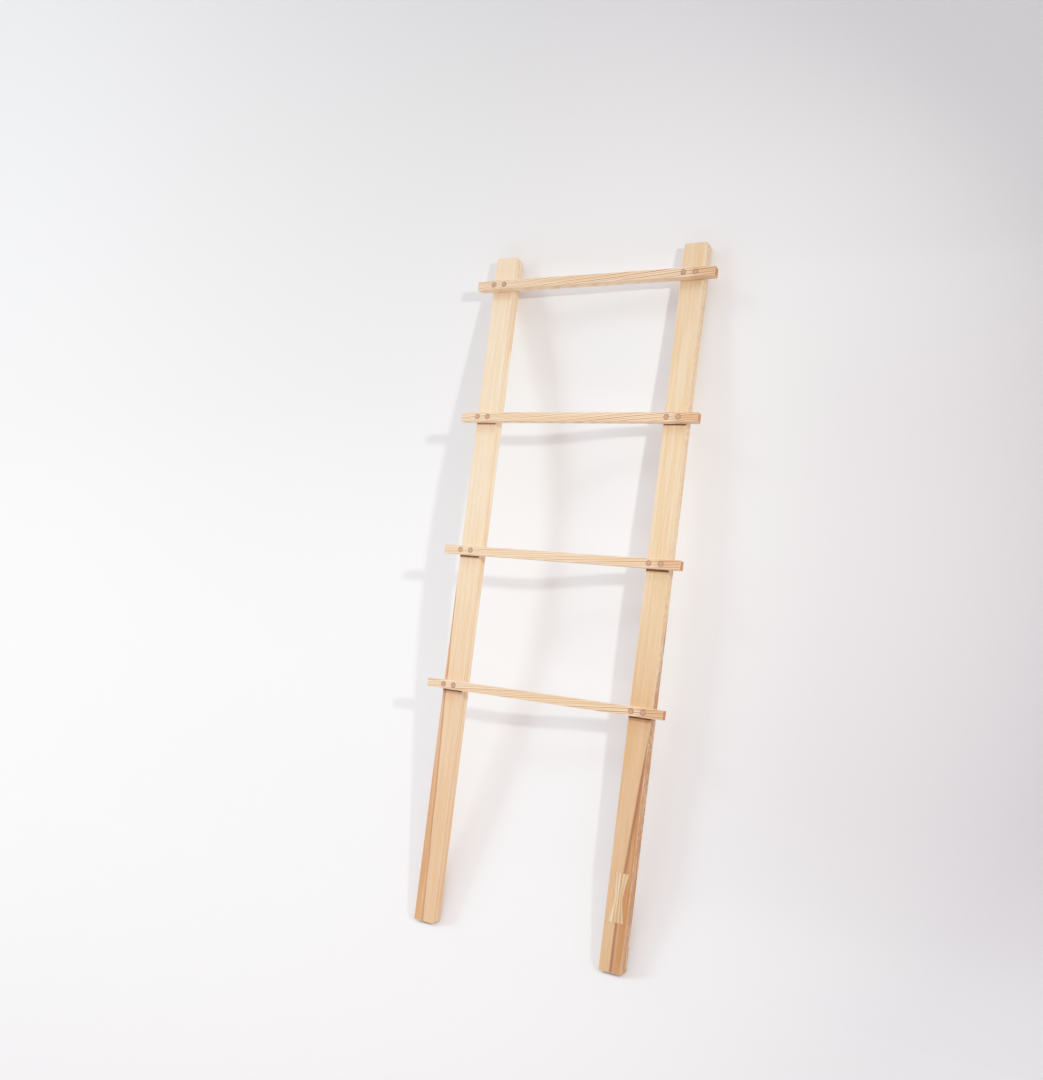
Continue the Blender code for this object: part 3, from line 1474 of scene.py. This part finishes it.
@dataclass
class Rung:
    """One rung, laid across the fronts of the rails."""

    ladder: LadderFrame
    effects: Effects
    pegs: Pegs
    number: int
    arris: float = 0.8 * MM
    end_chamfer: float = 0.6 * MM
    seed_step: float = 3.1
    pith_step: tuple[float, float] = (0.006, 0.009)

    def build(self) -> None:
        """Make and place the rung. Its length lies along its own Z, turned to lie across."""
        node = f"rung_{self.number}"
        box = self.ladder.box(node)
        size = Vector((box.size.z, box.size.y, box.size.x))
        rung = Stick(
            node + "_planed", *size, arris=self.arris, end_chamfer=self.end_chamfer
        ).build()
        self.ladder.place(rung, box.centre, LIE_ACROSS)
        nodes = [Pegs.node(*joint) for joint in product([self.number], Side, PegPlace)]
        carve(rung, self.pegs.drills(nodes))
        material = self._finish().build(self.effects, size / 2)
        finish_piece(rung, material, "rung_ash", node)

    def _finish(self) -> WoodFinish:
        """Choose this rung's own cut of the wood.

        Returns:
            The finish.
        """
        across, deep = RUNG_ASH.pith
        step_across, step_deep = self.pith_step
        return replace(
            RUNG_ASH, name=f"rung_{self.number}_ash",
            seed=RUNG_ASH.seed + self.seed_step * self.number,
            pith=(across + step_across * self.number, deep - step_deep * self.number),
        )


# ---- Studio -------------------------------------------------------------------------------------


@dataclass(frozen=True)
class Lamp:
    """A round soft lamp."""

    name: str
    at: tuple[float, float, float]
    aim: tuple[float, float, float]
    size: float
    power: float
    colour: RGB
    spread: float

    def build(self) -> None:
        """Hang the lamp. It lights the scene and isn't seen itself."""
        data = bpy.data.lights.new(self.name, "AREA")
        data.shape = "DISK"
        data.size = self.size
        data.energy = self.power
        data.color = self.colour
        data.spread = math.radians(self.spread)
        lamp = bpy.data.objects.new(self.name, data)
        lamp.location = self.at
        look = Vector(self.aim) - Vector(self.at)
        lamp.rotation_euler = look.to_track_quat("-Z", "Y").to_euler()
        lamp.visible_camera = False
        bpy.context.scene.collection.objects.link(lamp)


KEY_LAMP = Lamp(
    "key_lamp", at=(1.70, -1.45, 1.71), aim=(-0.50, 0.1, 0.75), size=0.14, power=5.9,
    colour=(1.0, 0.97, 0.90), spread=62.0,
)
HIGH_LAMP = Lamp(
    "high_left_lamp", at=(-2.5, -1.35, 3.6), aim=(-0.7, 0.0, 0.6), size=0.9, power=15.0,
    colour=(0.88, 0.98, 1.0), spread=120.0,
)
LOW_LAMP = Lamp(
    "low_left_lamp", at=(-3.2, -1.9, 1.5), aim=(-1.8, 0.1, 1.1), size=2.0, power=17.0,
    colour=(0.93, 0.98, 1.0), spread=95.0,
)


@dataclass
class Studio:
    """A pale paper sweep, soft lights and the camera."""

    half_width: float = 3.4
    floor_front: float = -2.0
    floor_join: float = -1.0
    wall_height: float = 4.5
    paper_sag: float = 0.34
    sag_top: float = 1.16
    fold_depth: float = 0.09
    fold_side: tuple[float, float] = (-0.20, 0.16)
    fold_height: tuple[float, float] = (0.15, 1.45)
    fold_columns: int = 12
    turn_start: float = -0.184
    turn_height: float = 0.40
    turn_steps: int = 14
    hang_rows: int = 20
    top_rows: int = 8
    paper: RGB = (0.88, 0.88, 0.88)
    paper_roughness: float = 0.9
    paper_specular: float = 0.2
    # Painted shade on the right of the backdrop: its colour and where it lies.
    painted_shade: RGB = (0.755, 0.735, 0.745)
    painted_shade_right_of: tuple[float, float] = (0.12, 0.60)
    painted_shade_above: tuple[float, float] = (0.0, 0.45)
    painted_shade_below: tuple[float, float] = (1.65, 1.0)
    surround_low: RGB = (0.06, 0.055, 0.055)
    surround_high: RGB = (1.0, 0.94, 0.985)
    surround_turn: tuple[float, float] = (0.10, 0.55)
    surround_seen: RGB = (0.60, 0.60, 0.61)
    surround_strength: float = 1.60
    film_white: float = 2.0
    film_steps: int = 12
    lamps: tuple[Lamp, ...] = (KEY_LAMP, HIGH_LAMP, LOW_LAMP)
    camera_at: tuple[float, float, float] = (0.9006, -1.9150, 1.1242)
    camera_turn: float = 27.484
    camera_dip: float = 11.587
    lens: float = 33.94
    shift: tuple[float, float] = (0.0021, 0.0723)

    def build(self) -> None:
        """Set up the whole studio."""
        self._film()
        self._sweep()
        for lamp in self.lamps:
            lamp.build()
        self._world()
        self._camera()

    def _film(self) -> None:
        """Roll the brightest tones off softly, so that pale paper and wood keep their shading."""
        view = bpy.context.scene.view_settings
        view.view_transform = "Standard"
        view.use_curve_mapping = True
        mapping = view.curve_mapping
        mapping.white_level = (self.film_white,) * 3
        mapping.extend = "HORIZONTAL"
        curve = mapping.curves[3]
        for step in range(1, self.film_steps):
            share = step / self.film_steps
            curve.points.new(share, 1 - (1 - share) ** 2)
        mapping.update()

    def _profile(self) -> list[tuple[float, float]]:
        """Draw the sweep's side view: floor, a tight turn at the feet, hanging paper, wall.

        Returns:
            Points (y, z), from the front of the floor to the top of the wall.
        """
        wall = CAD_BOX[1][1] + PAPER_GAP
        hang_from, hang_to, fold_top = self.turn_height, self.sag_top, self.fold_height[1]

        def hanging(z: float) -> float:
            """How far back the paper hangs at a height."""
            return wall - self.paper_sag * (hang_to - z) ** 2

        slope = 2 * self.paper_sag * (hang_to - hang_from)
        corner = hanging(hang_from) - slope * hang_from
        points = [(self.floor_front, 0.0), (self.floor_join, 0.0)]
        for step in range(self.turn_steps + 1):
            share = step / self.turn_steps
            away = 1 - share
            y = away**2 * self.turn_start + 2 * away * share * corner
            points.append((y + share**2 * hanging(hang_from), share**2 * hang_from))
        for row in range(1, self.hang_rows + 1):
            z = hang_from + (hang_to - hang_from) * row / self.hang_rows
            points.append((hanging(z), z))
        for row in range(1, self.top_rows + 1):
            points.append((wall, hang_to + (fold_top - hang_to) * row / self.top_rows))
        points.append((wall, self.wall_height))
        return points

    def _fold(self, x: float, z: float) -> float:
        """Work out how far the paper bellies forward behind the right rail.

        Args:
            x: Where along the wall.
            z: How high up it.

        Returns:
            The distance towards the front.
        """
        left, right = self.fold_side
        low, high = self.fold_height
        if not low < z < high:
            return 0.0
        across = min(1.0, max(0.0, (x - left) / (right - left)))
        ease = across * across * (3 - 2 * across)
        return self.fold_depth * ease * math.sin(math.pi * (z - low) / (high - low))

    def _sweep(self) -> None:
        """Hang the floor and backdrop in one sheet."""
        shape = bmesh.new()
        left, right = self.fold_side
        count = self.fold_columns
        folds = [left + (right - left) * i / count for i in range(count + 1)]
        columns = [-self.half_width, *folds, self.half_width]
        rows = [
            [shape.verts.new((x, y - self._fold(x, z), z)) for x in columns]
            for y, z in self._profile()
        ]
        for low, high in zip(rows, rows[1:]):
            for i in range(len(columns) - 1):
                shape.faces.new((low[i], low[i + 1], high[i + 1], high[i]))
        sweep = new_object("paper_sweep", shape)
        sweep.data.shade_smooth()
        sweep.data.materials.append(self._paper())

    def _paper(self) -> bpy.types.Material:
        """Make matt paper, with shade painted onto its right side. Its back can be seen through.

        Returns:
            The material.
        """
        material, n, shader = new_material("pale_paper")
        x, _, z = n.split(n.add("TexCoord").outputs["Object"])
        # Painted shade: the paper is darker on the right, standing in for less light there.
        painted_shade = n.math("MULTIPLY", n.step(x, *self.painted_shade_right_of), n.step(z, *self.painted_shade_above))
        painted_shade = n.math("MULTIPLY", painted_shade, n.step(z, *self.painted_shade_below))
        n.feed(shader.inputs["Base Color"], n.mix(painted_shade, self.paper, self.painted_shade))
        shader.inputs["Roughness"].default_value = self.paper_roughness
        shader.inputs["Specular IOR Level"].default_value = self.paper_specular
        clear = n.add("BsdfTransparent")
        either = n.add("MixShader")
        n.feed(either.inputs["Fac"], n.add("NewGeometry").outputs["Backfacing"])
        n.feed(either.inputs[1], shader.outputs["BSDF"])
        n.feed(either.inputs[2], clear.outputs["BSDF"])
        output = material.node_tree.nodes["Material Output"]
        n.feed(output.inputs["Surface"], either.outputs["Shader"])
        return material

    def _world(self) -> None:
        """Light the ladder from a surround that is dark low down and bright overhead.

        Where the surround itself is seen, it is an even pale grey.
        """
        world = bpy.data.worlds.new("studio")
        world.use_nodes = True
        background = world.node_tree.nodes["Background"]
        n = Nodes(world.node_tree)
        height = n.split(n.add("TexCoord").outputs["Generated"])[2]
        glow = n.step(height, *self.surround_turn)
        lighting = n.mix(glow, self.surround_low, self.surround_high)
        seen = n.add("LightPath").outputs["Is Camera Ray"]
        n.feed(background.inputs["Color"], n.mix(seen, lighting, self.surround_seen))
        background.inputs["Strength"].default_value = self.surround_strength
        bpy.context.scene.world = world

    def _camera(self) -> None:
        """Stand to the right of the ladder, a little below its second rung."""
        data = bpy.data.cameras.new("camera")
        data.sensor_fit = "HORIZONTAL"
        data.lens = self.lens
        data.shift_x, data.shift_y = self.shift
        camera = bpy.data.objects.new("camera", data)
        camera.location = self.camera_at
        dip, turn = math.radians(self.camera_dip), math.radians(self.camera_turn)
        camera.rotation_euler = (math.pi / 2 - dip, 0, turn)
        bpy.context.scene.collection.objects.link(camera)
        bpy.context.scene.camera = camera


def main() -> None:
    """Build the ladder's pieces and the studio in order."""
    logging.basicConfig(level=logging.INFO, format="%(name)s: %(message)s")
    ladder = LadderFrame(frame["record"])
    effects = Effects()
    pegs = Pegs(ladder, effects)
    key = ButterflyKey(ladder, effects)

    Rail(ladder, effects, pegs, Side.LEFT, LEFT_RAIL_ASH).build([])
    Rail(ladder, effects, pegs, Side.RIGHT, RIGHT_RAIL_ASH).build([key.pocket()])
    key.build()
    for number in RUNG_NUMBERS:
        Rung(ladder, effects, pegs, number).build()
    pegs.build()
    Studio().build()


if __name__ == "__main__":
    main()
